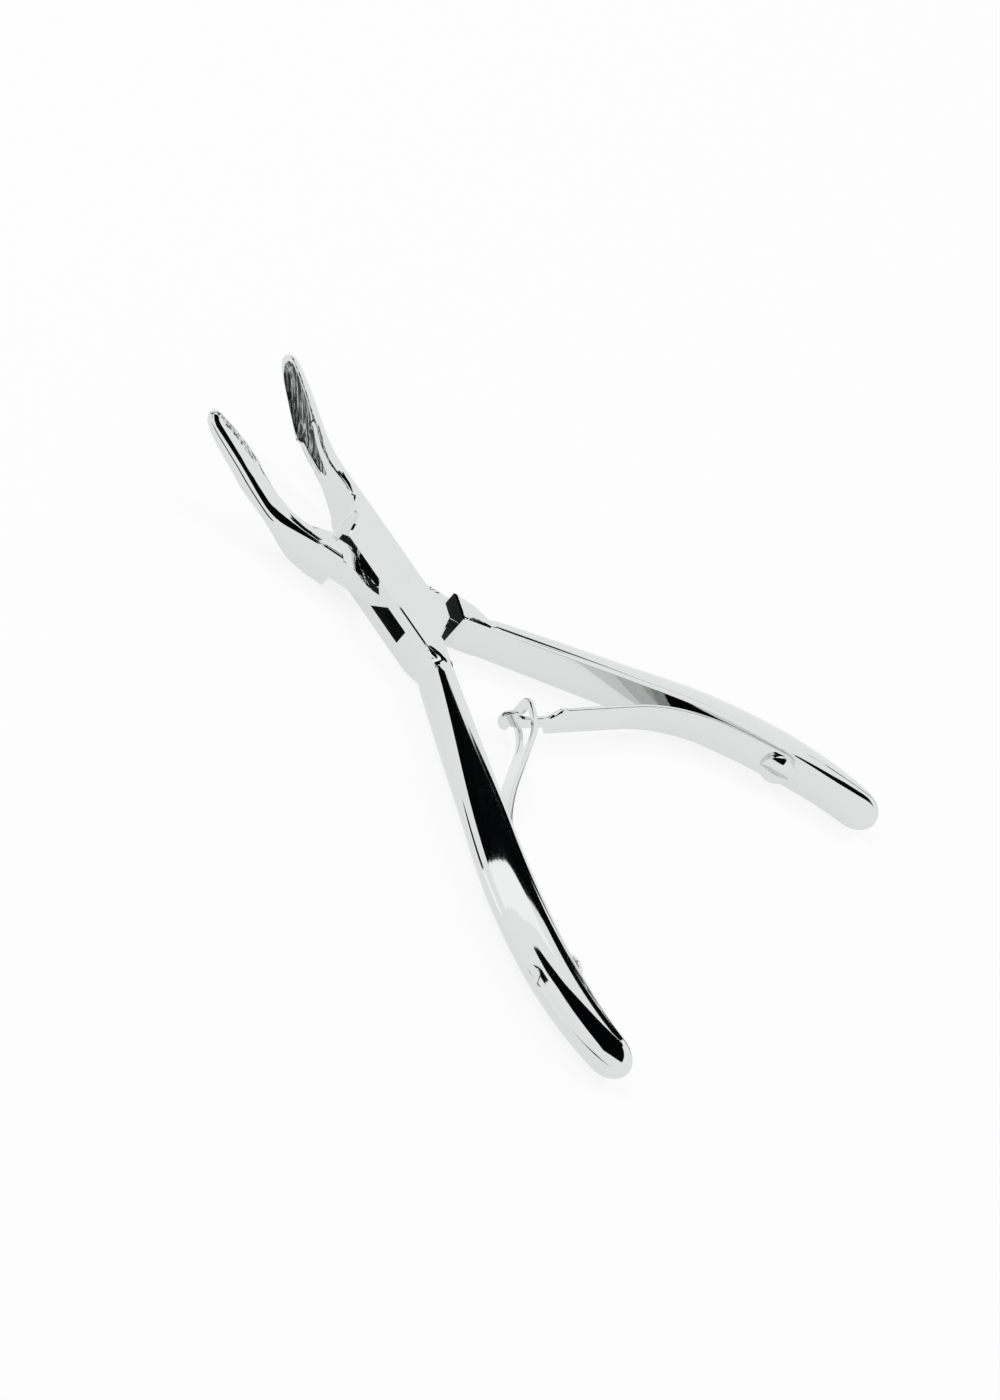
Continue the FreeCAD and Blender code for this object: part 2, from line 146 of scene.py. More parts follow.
# The outer edges' rounding grows fuller over a length ahead of the root, and the inner edges'
# rounding shrinks to the cup's rim
JAW_FULLNESS = 1.3
JAW_FULL_LENGTH = 6.0
JAW_INNER_RADIUS = 0.4
RIM_RADIUS = 0.08
RIM_START = 29.5
RIM_LENGTH = 2.5

# The hollow along a jaw's inner face: its depth and the share of the face's height that it takes,
# at each distance ahead. The cup's heel stands proud of the face behind it.
HOLLOW_STATIONS = (
    (23.5, 0.00, 0.15),
    (25.5, 0.30, 0.38),
    (28.5, 0.60, 0.58),
    (31.0, 0.80, 0.74),
    (32.4, 1.30, 0.90),
    (34.0, 1.55, 0.95),
    (40.2, 1.30, 0.93),
    (41.4, 0.95, 0.84),
    (42.2, 0.45, 0.55),
    (42.5, 0.00, 0.20),
)
HEEL = 31.6
HEEL_STEP = 0.55
HEEL_LENGTH = 0.9
HEEL_FADE = 7.0

# Handles
HANDLE_REACH = 99.1
HANDLE_ROOT_Y = 0.40
HANDLE_FLARE = math.radians(20.0)
HANDLE_BEND_X = 54.0
HANDLE_BEND_RADIUS = 115.0
HANDLE_JOIN = 19.2
HANDLE_BRIDGE = 0.6
NECK_RINGS = 60
GRIP_RINGS = 30
END_ANGLE = math.radians(88.6)
NECK_HALF_HEIGHT = 3.64
GRIP_HALF_HEIGHT = 4.15
NECK_THICKNESS = 2.85
GRIP_THICKNESS = 7.2
GRIP_X = 75.0
INNER_NECK_RADIUS = 0.35
INNER_GRIP_RADIUS = 1.5
INNER_ROUNDING_X = (60.0, 92.0)
FULL_LENGTH = 32.0
OUTWARD_ROUNDING = (0.38, 0.8)
UPWARD_ROUNDING = (0.5, 0.92)
FACE_CROWN = 0.22

# Steps around a forging's section: its hollow, outer edges, inner edges, top and outside
HOLLOW_STEPS = 24
OUTER_EDGE_STEPS = 18
INNER_EDGE_STEPS = 6
TOP_STEPS = 8
OUTSIDE_STEPS = 6

# The box lock: the slot through it, and the way that its slanted shoulders face
SLOT_HALF_HEIGHT = 1.43
SLOT_RADIUS = 11.05
SLOT_HALF_WIDTH = 4.9
SHOULDER_WAY = Vector((0.8508, 0.5254, 0.0))
SHOULDER_REACH = 14.0

# An edge of the box is rounded if it is this long and sharp, between faces this broad. The slot's
# rim, which rises less than this along an edge, stays crisp.
CRISP_LENGTH = 0.9
CRISP_BREADTH = 0.45
CRISP_ANGLE = math.radians(38)
RIM_RISE = 1.5

# A half's stone ground finish and its black painted shade, by their numbers among its materials
GROUND = 1
PAINTED_SHADE = 2

# Leaf springs
SCREW_X = 78.3
LEAF_THICKNESS = 0.9
LEAF_GAP = 0.05
LEAF_HEEL = 3.5
HOLE_RADIUS = 1.7
HEEL_RADIUS = 3.1
TONGUE_WIDTH = 6.2
TONGUE_FREE_X = 68.0
TONGUE_SLOPE = math.radians(45.7)
TONGUE_BEND_RADIUS = 39.3
TONGUE_STRAIGHT = 20.2
TONGUE_NECK_LENGTH = 7.7
TONGUE_NECK_WIDTH = 2.4
TONGUE_SHOULDER_SLANT = 0.45
TONGUE_CURL = math.radians(25.0)
TONGUE_CURL_LENGTH = 7.0
TONGUE_HEAD_WIDTH = 4.6
TONGUE_HEAD_LENGTH = 2.7
WINDOW_WIDTH = 5.8
WINDOW_FREE_X = 53.1
WINDOW_FIRST_SLOPE = math.radians(45.0)
WINDOW_FIRST_RADIUS = 13.0
WINDOW_SLOPE = math.radians(55.0)
WINDOW_BEND_RADIUS = 50.0
WINDOW_STRAIGHT = 13.2
WINDOW_CURL = math.radians(45.0)
WINDOW_CURL_RADIUS = 12.2
WINDOW_HEIGHT = 3.5
WINDOW_START = 1.6
WINDOW_END = 2.0
WINDOW_CORNER = 0.9
LEAF_CORNER = 1.6

# The camera that took the photograph, in the row frame
CAMERA_PLACE = Vector((0.09365, -0.97759, 0.69381))
CAMERA_RIGHT = Vector((0.71600757, 0.43470271, 0.54622955))
CAMERA_UP = Vector((-0.69587138, 0.38207164, 0.60809891))
CAMERA_LENS = 180.29

WHITE = "#FFFFFF"
BLACK = "#050607"

# The studio's cards as the metal sees them: each runs between two borders of azimuths and
# elevations in degrees. One is the light window and the others are dark.
ROOM_EDGE = ((-70, 60), (-57, 45), (-45, 43), (-38, 46), (-17, 32), (-2, 14), (10, -4), (34, -9),
             (48, -8), (52, 25), (54, 50))
CEILING_EDGE = ((-80, 74), (-40, 72), (-30, 66), (-16, 60), (-8, 60), (0, 60), (6, 60), (14, 60),
                (24, 62), (36, 66), (56, 70))
WINDOW_JAMB = ((-68, -12), (-70, 6), (-72, 22), (-77, 35), (-85, 46), (-101, 56), (-131, 61),
               (-154, 60))
LIGHT_WINDOW = "light_window"
STUDIO_CARDS = (
    ("dark_room_behind_camera", ROOM_EDGE, CEILING_EDGE),
    ("dark_ceiling", CEILING_EDGE, (
        (-110, 79), (-130, 80), (-150, 80), (-165, 79), (180, 78), (180, 78), (180, 78), (165, 78),
        (150, 78), (130, 78), (90, 76))),
    ("door_post", ((-43, 0), (-43, 16), (-43, 30)), ((-35, 0), (-36, 16), (-38, 30))),
    ("gap_over_far_wall", ((176, 76), (174, 62), (176, 46)), ((-168, 76), (-171, 62), (-172, 46))),
    (LIGHT_WINDOW, WINDOW_JAMB, (
        (-58, -12), (-59, 8), (-61, 24), (-65, 38), (-76, 56), (-98, 65), (-126, 68), (-150, 68))),
    ("window_wall", WINDOW_JAMB + ((-168, 54), (179, 44)), (
        (-95, -12), (-97, 10), (-99, 28), (-105, 42), (-114, 50), (-126, 54), (-143, 54),
        (-158, 50), (-172, 42), (178, 34))),
)

# The share of the floor that glows where it is seen, and the world's light where it isn't seen
FLOOR_GLOW = 0.85
WORLD_LIGHT = 0.6

# The lamps that light the floor: place and size in metres, power in watts
LAMPS = (
    ("soft_lamp_left", (-0.9, -0.4, 1.3), 1.0, 9.0),
    ("soft_lamp_back", (0.5, 1.0, 1.4), 1.0, 7.0),
)


def linear(colour):
    """An sRGB hex colour as linear RGBA."""
    parts = [int(colour[i:i + 2], 16) / 255 for i in (1, 3, 5)]
    return [c / 12.92 if c <= 0.04045 else ((c + 0.055) / 1.055) ** 2.4 for c in parts] + [1.0]


def add_node(tree, kind, settings=None, **inputs):
    """A shader node with its settings, whose named inputs are values or other nodes' outputs."""
    node = tree.nodes.new(kind)
    for name, value in (settings or {}).items():
        setattr(node, name, value)
    for name, value in inputs.items():
        socket = node.inputs[int(name[1:]) if name[0] == "i" and name[1:].isdigit() else
                             name.replace("_", " ")]
        if isinstance(value, bpy.types.NodeSocket):
            tree.links.new(value, socket)
        else:
            socket.default_value = value
    return node


def only(obj):
    """Select this object alone and make it active."""
    bpy.ops.object.select_all(action="DESELECT")
    obj.hide_set(False)
    obj.select_set(True)
    bpy.context.view_layer.objects.active = obj


def edited(obj, *steps):
    """Run edit mode steps on the whole of the object's mesh."""
    only(obj)
    bpy.ops.object.mode_set(mode="EDIT")
    for step in steps:
        bpy.ops.mesh.select_all(action="SELECT")
        step()
    bpy.ops.object.mode_set(mode="OBJECT")


def place_in_mesh(obj):
    """Move the object's place, turn and scale into its mesh."""
    only(obj)
    bpy.ops.object.transform_apply(location=True, rotation=True, scale=True)


def apply_modifier(obj, kind, **settings):
    only(obj)
    modifier = obj.modifiers.new(kind.title(), kind)
    for name, value in settings.items():
        setattr(modifier, name, value)
    bpy.ops.object.modifier_apply(modifier=modifier.name)


def shade_between_edges(obj, angle):
    """Shade smooth across all edges that turn less than this, and keep flats flat."""
    only(obj)
    bpy.ops.object.shade_smooth_by_angle(angle=angle)
    apply_modifier(obj, "WEIGHTED_NORMAL", mode="FACE_AREA", weight=50, keep_sharp=True)


def merged_copy(node, name):
    """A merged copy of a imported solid, with its coplanar triangles joined into flat faces."""
    only(frame["nodes"][node])
    bpy.ops.object.duplicate()
    obj = bpy.context.active_object
    obj.name = name
    obj.data.name = name
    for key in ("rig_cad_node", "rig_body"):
        if key in obj:
            del obj[key]
    bpy.ops.object.parent_clear(type="CLEAR_KEEP_TRANSFORM")
    obj.data.materials.clear()
    edited(
        obj,
        lambda: bpy.ops.mesh.remove_doubles(threshold=MERGE_DISTANCE),
        lambda: bpy.ops.mesh.dissolve_degenerate(threshold=MERGE_DISTANCE),
        lambda: bpy.ops.mesh.dissolve_limited(angle_limit=math.radians(0.2)),
    )
    return obj


def finished_solid(node, name, edge_round):
    """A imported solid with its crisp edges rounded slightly, as polishing does."""
    obj = merged_copy(node, name)
    apply_modifier(obj, "BEVEL", width=edge_round, segments=3, limit_method="ANGLE",
                   angle_limit=CRISP_ANGLE, use_clamp_overlap=True, miter_outer="MITER_ARC")
    shade_between_edges(obj, PIECE_SHADE_ANGLE)
    return obj


def finish_piece(obj, materials, slot, body, *nodes):
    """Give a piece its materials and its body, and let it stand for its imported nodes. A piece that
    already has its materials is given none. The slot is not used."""
    for material in materials:
        obj.data.materials.append(material)
    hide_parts(*nodes)
    if body:
        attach(obj, body)


# Materials


def bare_material(name):
    """A new material, and its node tree with no nodes in it."""
    material = bpy.data.materials.new(name)
    material.use_nodes = True
    material.node_tree.nodes.clear()
    return material, material.node_tree


def seen_directly(tree):
    """An output that is 1 for what the camera sees, reflected too, and 0 for what only lights."""
    rays = add_node(tree, "ShaderNodeLightPath")
    seen = add_node(tree, "ShaderNodeMath", {"operation": "MAXIMUM"},
                    i0=rays.outputs["Is Camera Ray"], i1=rays.outputs["Is Glossy Ray"])
    seen = add_node(tree, "ShaderNodeMath", {"operation": "MAXIMUM"}, i0=seen.outputs[0],
                    i1=rays.outputs["Is Transmission Ray"])
    return seen.outputs[0]


def polished_steel(name, colour, roughness):
    """Martensitic stainless steel, forged, hardened and mirror polished: a cool, pale grey metal
    whose reflections stay sharp, with the slight haze that hand polishing leaves."""
    material, tree = bare_material(name)
    shader = add_node(tree, "ShaderNodeBsdfPrincipled", Base_Color=linear(colour), Metallic=1.0,
                      Roughness=roughness)
    add_node(tree, "ShaderNodeOutputMaterial", Surface=shader.outputs["BSDF"])
    return material


def ground_steel(name, colour):
    """The cups and grooves are ground by hand with a long stone: the same steel with fine dark
    streaks and scratches that run along the jaw."""
    material, tree = bare_material(name)
    place = add_node(tree, "ShaderNodeTexCoord")
    along = add_node(tree, "ShaderNodeMapping", {"vector_type": "TEXTURE"},
                     Vector=place.outputs["Object"],
                     Rotation=(0, math.radians(40), -HALF_OPENING),
                     Scale=(7.0 * MM, 0.5 * MM, 0.28 * MM))
    streaks = add_node(tree, "ShaderNodeTexNoise", Vector=along.outputs[0], Scale=1.0, Detail=6.0,
                       Roughness=0.65)
    bump = add_node(tree, "ShaderNodeBump", Height=streaks.outputs[0], Strength=0.9,
                    Distance=0.00022)
    shade = add_node(tree, "ShaderNodeMapRange", Value=streaks.outputs[0], From_Min=0.47,
                     From_Max=0.56, To_Min=0.0, To_Max=1.0)
    tint = add_node(tree, "ShaderNodeMix", {"data_type": "RGBA"}, i0=shade.outputs[0],
                    i6=linear("#4A4E4D"), i7=linear(colour))
    shader = add_node(tree, "ShaderNodeBsdfPrincipled", Base_Color=tint.outputs[2],
                      Metallic=1.0, Roughness=0.16, Normal=bump.outputs[0])
    add_node(tree, "ShaderNodeOutputMaterial", Surface=shader.outputs["BSDF"])
    return material


def painted_shade_material(name):
    """Painted shade: near black and matt, standing in for the shadow inside the slot and the dark
    shade on the slanted shoulders."""
    material, tree = bare_material(name)
    shader = add_node(tree, "ShaderNodeBsdfPrincipled", Base_Color=linear("#0C0D0E"),
                      Metallic=0.0, Roughness=0.75)
    add_node(tree, "ShaderNodeOutputMaterial", Surface=shader.outputs["BSDF"])
    return material


def glow(name, colour, strength):
    """A card that shines evenly, for reflections only."""
    material, tree = bare_material(name)
    shader = add_node(tree, "ShaderNodeEmission", Color=linear(colour), Strength=strength)
    add_node(tree, "ShaderNodeOutputMaterial", Surface=shader.outputs["Emission"])
    return material


# The drawing's curves


def handle_face(x):
    """Where the handle's flat inner face is at x, and how steeply it leaves the X axis."""
    bend_y = HANDLE_ROOT_Y + (HANDLE_BEND_X - BOX_END_X) * math.tan(HANDLE_FLARE)
    if x <= HANDLE_BEND_X:
        return bend_y + (x - HANDLE_BEND_X) * math.tan(HANDLE_FLARE), HANDLE_FLARE
    slope = math.asin(math.sin(HANDLE_FLARE) - (x - HANDLE_BEND_X) / HANDLE_BEND_RADIUS)
    return bend_y + HANDLE_BEND_RADIUS * (math.cos(slope) - math.cos(HANDLE_FLARE)), slope


def smooth(v):
    """A smooth rise from 0 to 1 as v goes from 0 to 1."""
    v = min(max(v, 0.0), 1.0)
    return v * v * (3 - 2 * v)


def handle_thickness(x):
    if x < GRIP_X:
        v = max((x - BOX_END_X) / (GRIP_X - BOX_END_X), 0.0)
        return NECK_THICKNESS + (GRIP_THICKNESS - NECK_THICKNESS) * math.sin(v * math.pi / 2) ** 1.3
    v = (x - GRIP_X) / (HANDLE_REACH - GRIP_X)
    return GRIP_THICKNESS * math.sqrt(max(1 - v * v, 0.0))


def handle_half_height(x):
    v = (x - BOX_END_X) / (GRIP_X - BOX_END_X)
    height = NECK_HALF_HEIGHT + (GRIP_HALF_HEIGHT - NECK_HALF_HEIGHT) * smooth(1.3 * v)
    into_end = x - (HANDLE_REACH - GRIP_HALF_HEIGHT)
    if into_end > 0:
        height *= math.sqrt(max(1 - (into_end / GRIP_HALF_HEIGHT) ** 2, 0.0))
    return height


def jaw_station(ahead):
    """The jaw's sizes at any distance ahead, on smooth curves through the listed stations."""
    rows = JAW_STATIONS
    last = len(rows) - 1
    i = max(n for n in range(last) if rows[n][0] <= ahead)
    (a, *low_row), (b, *high_row) = rows[i], rows[i + 1]
    v = (ahead - a) / (b - a)
    found = []
    for column, (p, q) in enumerate(zip(low_row, high_row), 1):
        before, after = rows[max(i - 1, 0)], rows[min(i + 2, last)]
        leave = (q - before[column]) / (b - before[0]) * (b - a)
        arrive = (after[column] - p) / (after[0] - a) * (b - a)
        found.append(p * (1 + 2 * v) * (1 - v) ** 2 + q * v * v * (3 - 2 * v)
                     + leave * v * (1 - v) ** 2 - arrive * v * v * (1 - v))
    return found


def bezier_points(poles, count):
    """Points along a cubic curve, without its last one."""
    points = []
    for i in range(count):
        t = i / count
        weights = ((1 - t) ** 3, 3 * t * (1 - t) ** 2, 3 * t * t * (1 - t), t ** 3)
        points.append(tuple(sum(w * pole[axis] for w, pole in zip(weights, poles))
                            for axis in (0, 1)))
    return points


def arch(start, end, rise):
    """Poles of a shallow arch, rising by the pair rise in its middle."""
    lift = [4 / 3 * r for r in rise]
    return (start, tuple(s + (e - s) / 3 + r for s, e, r in zip(start, end, lift)),
            tuple(e - (e - s) / 3 + r for s, e, r in zip(start, end, lift)), end)


def corner_round(start, corner, end):
    """Poles of a quarter round inside the corner."""
    pull = 4 * (math.sqrt(2) - 1) / 3
    return (start, tuple(s + (c - s) * pull for s, c in zip(start, corner)),
            tuple(e + (c - e) * pull for e, c in zip(end, corner)), end)


def forged_ring(low, high, thickness, rounding, inner_radius, hollow=(0.0, 0.5)):
    """Points around a forging's section as (out, z): inner face, hollowed or flat, crowned top,
    outside and underside, and rounded edges. out is measured from the inner face outwards, and
    the outer edges' rounding is given outwards and upwards."""
    height = high - low
    a = min(rounding[0], 0.8 * thickness)
    b = min(rounding[1], 0.46 * height)
    q = min(inner_radius, 0.25 * thickness, 0.2 * height)
    crown = FACE_CROWN * min(1.0, thickness / GRIP_THICKNESS)
    depth, share = hollow
    depth = min(depth, 0.55 * thickness)
    half = height / 2 - q
    points = [(0, low + q)]
    for i in range(HOLLOW_STEPS + 1):
        s = -math.cos(math.pi * i / HOLLOW_STEPS)
        points.append((depth * math.sqrt(max(1 - s * s, 0.0)), (low + high) / 2 + s * share * half))
    for poles, count in (
            (corner_round((0, high - q), (0, high), (q, high)), INNER_EDGE_STEPS),
            (arch((q, high), (thickness - a, high), (0, crown / 2)), TOP_STEPS),
            (corner_round((thickness - a, high), (thickness, high), (thickness, high - b)),
             OUTER_EDGE_STEPS),
            (arch((thickness, high - b), (thickness, low + b), (crown, 0)), OUTSIDE_STEPS),
            (corner_round((thickness, low + b), (thickness, low), (thickness - a, low)),
             OUTER_EDGE_STEPS),
            (arch((thickness - a, low), (q, low), (0, -crown / 2)), TOP_STEPS),
            (corner_round((q, low), (0, low), (0, low + q)), INNER_EDGE_STEPS)):
        points += bezier_points(poles, count)
    return points


def between_stations(rows, place):
    """The listed values at a place, on straight lines between the stations and 0 beyond them."""
    if not rows[0][0] < place < rows[-1][0]:
        return [0.0] + list(rows[0][2:])
    for (start, *low), (end, *high) in zip(rows, rows[1:]):
        if place <= end:
            v = (place - start) / (end - start)
            return [p + (q - p) * v for p, q in zip(low, high)]


def skin(name, rings):
    """A tube of faces through rings of points, closed by a flat face at its last ring."""
    around, along = len(rings[0]), len(rings) - 1
    bpy.ops.object.select_all(action="DESELECT")
    bpy.ops.mesh.primitive_grid_add(x_subdivisions=around, y_subdivisions=along, size=2.0)
    obj = bpy.context.active_object
    obj.name = name
    for vertex in obj.data.vertices:
        i = round((vertex.co.x + 1) / 2 * around)
        j = round((vertex.co.y + 1) / 2 * along)
        vertex.co = Vector(rings[j][i % around]) * MM
    edited(obj, lambda: bpy.ops.mesh.remove_doubles(threshold=0.001 * MM))
    fill_ring(obj, rings[-1])
    for material in half_materials():
        obj.data.materials.append(material)
    return obj


def fill_ring(obj, ring):
    """Close the open end of a tube that runs through these points."""
    centre = sum((Vector(point) for point in ring), Vector()) / len(ring) * MM
    reach = max((Vector(point) * MM - centre).length for point in ring)
    select_edges(obj, lambda edge: edge.is_boundary and all(
        (vertex.co - centre).length < reach + TOUCH for vertex in edge.verts))
    bpy.ops.mesh.edge_face_add()
    bpy.ops.object.mode_set(mode="OBJECT")


def select_edges(obj, chosen):
    """Go into edit mode with only the chosen edges selected."""
    only(obj)
    bpy.ops.object.mode_set(mode="EDIT")
    bpy.ops.mesh.select_mode(type="EDGE")
    bpy.ops.mesh.select_all(action="DESELECT")
    shape = bmesh.from_edit_mesh(obj.data)
    for edge in shape.edges:
        edge.select_set(bool(chosen(edge)))
    bmesh.update_edit_mesh(obj.data)


def handle_tube(side):
    """The handle from where it leaves the box's root to its rounded end."""
    start = HANDLE_JOIN + HANDLE_BRIDGE
    stations = [start + (GRIP_X - start) * i / NECK_RINGS for i in range(NECK_RINGS)]
    stations += [GRIP_X + (HANDLE_REACH - GRIP_X) * math.sin(END_ANGLE * i / GRIP_RINGS)
                 for i in range(GRIP_RINGS + 1)]
    first, last = INNER_ROUNDING_X
    rings = []
    for x in stations:
        y, slope = handle_face(x)
        height = handle_half_height(x)
        thickness = handle_thickness(x)
        full = smooth((x - start) / FULL_LENGTH)
        rounding = [size * (neck + (grip - neck) * full) for size, neck, grip in (
            (thickness, *OUTWARD_ROUNDING), (height, *UPWARD_ROUNDING))]
        inner = INNER_NECK_RADIUS + (INNER_GRIP_RADIUS - INNER_NECK_RADIUS) * smooth(
            (x - first) / (last - first))
        rings.append([
            (x - math.sin(slope) * out, side * (y + math.cos(slope) * out), z + HALF_HEIGHT)
            for out, z in forged_ring(-height, height, thickness, rounding, inner)])
    return skin("handle_tube", rings)


def heel_step(ahead):
    """How far the inner face lies behind the cup's heel."""
    return HEEL_STEP * smooth((HEEL - ahead) / HEEL_LENGTH) * smooth(
        (ahead - HEEL + HEEL_LENGTH + HEEL_FADE) / HEEL_FADE)


def jaw_tube(side):
    """The jaw from its root to its tip, with its cup and groove ground in."""
    start, end = JAW_JOIN + JAW_BRIDGE, JAW_STATIONS[-1][0]
    rings = []
    for i in range(JAW_RINGS + 1):
        ahead = start + (end - start) * math.sin(math.pi / 2 * i / JAW_RINGS)
        low, high, bow, thickness, edge = jaw_station(ahead)
        step = heel_step(ahead)
        fullness = 1 + (JAW_FULLNESS - 1) * smooth((ahead - start) / JAW_FULL_LENGTH)
        inner = JAW_INNER_RADIUS + (RIM_RADIUS - JAW_INNER_RADIUS) * smooth(
            (ahead - RIM_START) / RIM_LENGTH)
        ring = forged_ring(low, high, thickness - step, (edge * fullness, edge * fullness), inner,
                           between_stations(HOLLOW_STATIONS, ahead))
        rings.append([(-ahead, side * (FACE_GAP + bow + step + out), z + HALF_HEIGHT)
                      for out, z in ring])
    obj = skin("jaw_tube", rings)
    for face in obj.data.polygons:
        ahead, out = -face.center.x / MM, abs(face.center.y) / MM - FACE_GAP
        bow = jaw_station(min(ahead, end - 0.01))[2] + heel_step(ahead)
        depth = between_stations(HOLLOW_STATIONS, ahead)[0]
        # The ground faces look at the other jaw from inside the hollow
        if face.normal.y * side < -0.05 and 0.03 < out - bow < 1.05 * depth:
            face.material_index = GROUND
    return obj


def crisp_convex(edge):
    """Whether this is a long, sharp outer edge between two broad faces, and not the slot's rim."""
    if len(edge.link_faces) != 2 or edge.calc_length() < CRISP_LENGTH * MM:
        return False
    breadth = min(face.calc_area() for face in edge.link_faces) / edge.calc_length()
    rise = abs(edge.verts[0].co.z - edge.verts[1].co.z)
    in_slot = all(abs(vertex.co.z / MM - HALF_HEIGHT) < SLOT_HALF_HEIGHT + 0.05
                  for vertex in edge.verts)
    return (edge.calc_face_angle_signed() > CRISP_ANGLE and breadth > CRISP_BREADTH * MM
            and not (in_slot and rise < RIM_RISE * MM))


def round_box_edges(obj, edge_round):
    """Give the box's top a narrow chamfer, and round its other crisp edges."""
    top = 2 * HALF_HEIGHT * MM
    select_edges(obj, lambda edge: crisp_convex(edge) and all(
        abs(vertex.co.z - top) < TOUCH for vertex in edge.verts))
    bpy.ops.mesh.bevel(offset=edge_round, segments=1, affect="EDGES", clamp_overlap=False)
    bpy.ops.object.mode_set(mode="OBJECT")
    select_edges(obj, lambda edge: crisp_convex(edge) and not any(
        abs(vertex.co.z - top) < 0.5 * MM for vertex in edge.verts))
    bpy.ops.mesh.bevel(offset=edge_round, segments=4, affect="EDGES", clamp_overlap=False)
    bpy.ops.object.mode_set(mode="OBJECT")


def paint_slot_shade(obj):
    """Paint shade into the slot's inside and onto the slanted shoulders as a near black material."""
    for face in obj.data.polygons:
        x, y, z = face.center / MM
        in_slot = (abs(z - HALF_HEIGHT) < SLOT_HALF_HEIGHT + 0.01 and abs(y) < SLOT_HALF_WIDTH
                   and math.hypot(x, y) < SLOT_RADIUS + 0.1)
        shoulder = abs(face.normal.dot(SHOULDER_WAY)) > 0.98 and abs(x) < SHOULDER_REACH
        if in_slot or shoulder:
            face.material_index = PAINTED_SHADE


def forged_half(node, name, side, edge_round):
    """One half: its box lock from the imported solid, its handle at side and its jaw on the other
    side drawn as smooth tubes and joined to it."""
    obj = merged_copy(node, name)
    turn = Matrix.Rotation(HALF_OPENING * side, 4, "Z")
    obj.data.transform(turn.inverted())
    y, slope = handle_face(HANDLE_JOIN)
    joins = (
        (Vector((HANDLE_JOIN, side * y, 0)) * MM,
         Vector((math.cos(slope), side * math.sin(slope), 0))),
        (Vector((-JAW_JOIN, 0, 0)) * MM, Vector((-1, 0, 0))),
    )
    for place, way in joins:
        edited(obj, lambda: bpy.ops.mesh.bisect(
            plane_co=place, plane_no=way, clear_outer=True, threshold=0.0005 * MM))
    round_box_edges(obj, edge_round)
    for material in half_materials():
        obj.data.materials.append(material)
    # Paint the slot's inside and the slanted shoulders near black, as painted shade
    paint_slot_shade(obj)
    tubes = [handle_tube(side), jaw_tube(-side)]
    only(obj)
    for tube in tubes:
        tube.select_set(True)
    bpy.ops.object.join()
    for place, way in joins:
        select_edges(obj, lambda edge: edge.is_boundary and all(
            abs((vertex.co - place).dot(way)) < 1.0 * MM for vertex in edge.verts))
        bpy.ops.mesh.bridge_edge_loops()
        bpy.ops.object.mode_set(mode="OBJECT")
    edited(obj, lambda: bpy.ops.mesh.normals_make_consistent(inside=False))
    obj.data.transform(turn)
    shade_between_edges(obj, HALF_SHADE_ANGLE)
    return obj


class LeafPath:
    """The middle line of a leaf in plan, walked from its heel to its tip in bends and straights."""

    def __init__(self, free_x):
        heel_x = SCREW_X + LEAF_HEEL * math.cos(handle_face(SCREW_X)[1])
        heel_y, heel_slope = handle_face(heel_x)
        free_slope = handle_face(free_x)[1]
        inset = LEAF_GAP + LEAF_THICKNESS / 2
        inward = Vector((math.sin(heel_slope), -math.cos(heel_slope)))
        self.start = Vector((heel_x, heel_y)) + inward * inset
        self.heading = math.pi + heel_slope
        self.runs = []
        turn = free_slope - heel_slope
        self.go((HANDLE_BEND_RADIUS - inset) * turn, turn)
        if free_x < HANDLE_BEND_X:
            self.go((HANDLE_BEND_X - free_x) / math.cos(free_slope))
        self.free_slope = free_slope

    def go(self, length, turn=0.0):
        self.runs.append((length, turn))

    def length(self):
        return sum(length for length, turn in self.runs)

    def at(self, distance):
        """The place and heading at a distance from the heel."""
        place, heading = self.start.copy(), self.heading
        for number, (length, turn) in enumerate(self.runs):
            last = number == len(self.runs) - 1
            step = distance if last or distance < length else length
            turned = turn * step / length
            chord = step * (math.sin(turned / 2) / (turned / 2) if turned else 1.0)
            middle = heading + turned / 2
            place = place + Vector((math.cos(middle), math.sin(middle))) * chord
            heading += turned
            distance -= step
            if distance <= 0 and not last:
                break
        return place, heading


def arc_points(centre, radius, start, end, count):
    """Points on an arc in the blank's plane, from one angle to another."""
    angles = [start + (end - start) * i / count for i in range(count + 1)]
    return [(centre[0] + radius * math.cos(a), centre[1] + radius * math.sin(a)) for a in angles]


def flat_blank(name, outline, openings):
    """A leaf's flat blank: along X from its heel, its width along Z, its thickness along Y."""
    bpy.ops.object.select_all(action="DESELECT")
    bpy.ops.mesh.primitive_circle_add(vertices=len(outline), radius=1.0, fill_type="NGON")
    obj = bpy.context.active_object
    obj.name = name
    obj.data.name = name
    for vertex, (along, width) in zip(obj.data.vertices, outline):
        vertex.co = Vector((along, -LEAF_THICKNESS / 2, width)) * MM
    edited(obj, lambda: bpy.ops.mesh.extrude_region_move(
        TRANSFORM_OT_translate={"value": (0, LEAF_THICKNESS * MM, 0)}))
    edited(obj, lambda: bpy.ops.mesh.normals_make_consistent(inside=False))
    for cutter in openings:
        apply_modifier(obj, "BOOLEAN", object=cutter, operation="DIFFERENCE", solver="EXACT")
        bpy.data.objects.remove(cutter)
    return obj


def round_cutter(along, radius):
    """A round punch through the blank."""
    bpy.ops.object.select_all(action="DESELECT")
    bpy.ops.mesh.primitive_cylinder_add(
        vertices=64, radius=radius * MM, depth=4 * LEAF_THICKNESS * MM,
        location=(along * MM, 0, 0), rotation=(math.pi / 2, 0, 0))
    place_in_mesh(bpy.context.active_object)
    return bpy.context.active_object


